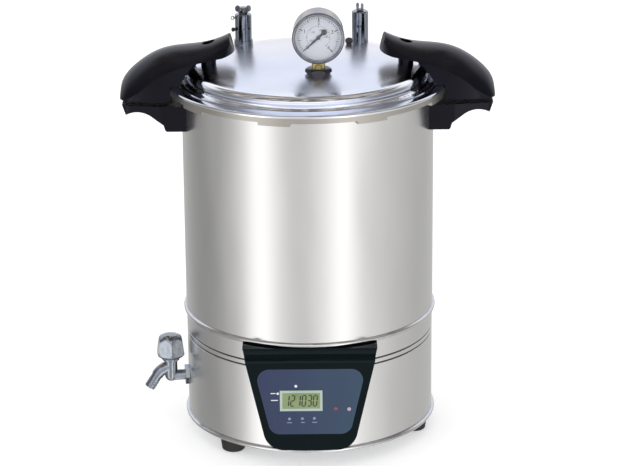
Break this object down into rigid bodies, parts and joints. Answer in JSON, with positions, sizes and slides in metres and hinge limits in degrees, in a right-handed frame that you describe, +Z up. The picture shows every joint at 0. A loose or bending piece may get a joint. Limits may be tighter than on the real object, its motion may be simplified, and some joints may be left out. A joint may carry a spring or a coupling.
{
  "type": "portable steam steriliser",
  "caption": "Round portable steam steriliser: stainless pressure vessel on an electric base with control panel and drain tap, domed bayonet lid with gauge, valves and moulded handles.",
  "frame": {"origin": "on the vessel's axis, in the plane that the three feet stand on", "axes": "+Z up along the vessel's axis, -Y towards the control panel, handles along X"},
  "size_m": [0.443, 0.333, 0.533],
  "materials": {
    "brushed_stainless": "satin, drawn round the wall",
    "polished_stainless": "polished",
    "galvanised_steel": "dull zinc",
    "dark_steel": "oiled",
    "chrome_plate": "bright",
    "plain_brass": "turned",
    "black_phenolic": "moulded, semi-gloss",
    "black_gloss_moulding": "gloss",
    "blue_membrane": "satin film",
    "pale_frame": "printed film",
    "display_green": "liquid crystal",
    "black_rubber": "moulded",
    "white_silicone": "moulded",
    "red_silicone": "moulded",
    "white_dial": "printed enamel",
    "black_paint": "matt",
    "clear_glass": "clear"
  },
  "bodies": {
    "body": {"vessel_wall": "brushed_stainless", "vessel_bottom": "brushed_stainless", "vessel_mouth": "brushed_stainless", "chamber_rack": "brushed_stainless", "heater_element": "dark_steel", "base_shell": "brushed_stainless", "middle_bead": "polished_stainless", "bottom_bead": "polished_stainless", "base_plate": "galvanised_steel", "foot_front_left": "black_rubber", "foot_right": "black_rubber", "foot_rear": "black_rubber", "panel_housing": "black_gloss_moulding", "panel_membrane": "blue_membrane", "display_frame": "pale_frame", "display_window": "display_green", "tap_body": "chrome_plate", "tap_nut": "chrome_plate", "power_inlet": "black_gloss_moulding", "lower_handle_left": "black_phenolic", "lower_handle_right": "black_phenolic", "handle_strap_left": "brushed_stainless", "handle_strap_right": "brushed_stainless"},
    "tap_knob": {"tap_knob": "chrome_plate"},
    "seal": {"lid_seal": "white_silicone"},
    "lid": {"lid_cover": "polished_stainless", "lid_skirt": "polished_stainless", "upper_handle_left": "black_phenolic", "upper_handle_right": "black_phenolic", "handle_screw_left": "dark_steel", "handle_screw_right": "dark_steel", "gauge_case": "brushed_stainless", "gauge_bezel": "polished_stainless", "gauge_dial": "white_dial", "gauge_glass": "clear_glass", "gauge_stem": "plain_brass", "gauge_nut": "dark_steel", "gauge_washer": "red_silicone", "exhaust_valve_body": "chrome_plate", "exhaust_nozzle": "chrome_plate", "safety_valve_body": "chrome_plate", "relief_plug": "red_silicone"},
    "gauge_needle": {"gauge_needle": "black_paint"},
    "exhaust_knob": {"exhaust_wing_knob": "dark_steel"},
    "safety_stem": {"safety_valve_stem": "dark_steel"}
  },
  "joints": [
    {"name": "lid_lift", "type": "slide", "parent": "body", "child": "seal", "axis": [0, 0, 1], "range_m": [0, 0.2]},
    {"name": "lid_turn", "type": "hinge", "parent": "seal", "child": "lid", "pos_m": [0, 0, 0.4345], "axis": [0, 0, 1], "range_deg": [0, 20]},
    {"name": "needle_swing", "type": "hinge", "parent": "lid", "child": "gauge_needle", "pos_m": [0.013, -0.0708, 0.5025], "axis": [0, 1, 0], "range_deg": [0, 270], "stiffness_Nm_per_rad": 0.0005},
    {"name": "tap_turn", "type": "hinge", "parent": "body", "child": "tap_knob", "pos_m": [-0.16983, -0.02387, 0.104], "axis": [0, 0, 1], "range_deg": [0, 360]},
    {"name": "exhaust_turn", "type": "hinge", "parent": "lid", "child": "exhaust_knob", "pos_m": [-0.07749, 0.09603, 0.497], "axis": [0, 0, 1], "range_deg": [0, 360]},
    {"name": "safety_pull", "type": "slide", "parent": "lid", "child": "safety_stem", "axis": [0, 0, 1], "range_m": [0, 0.003], "stiffness_N_per_m": 400}
  ]
}
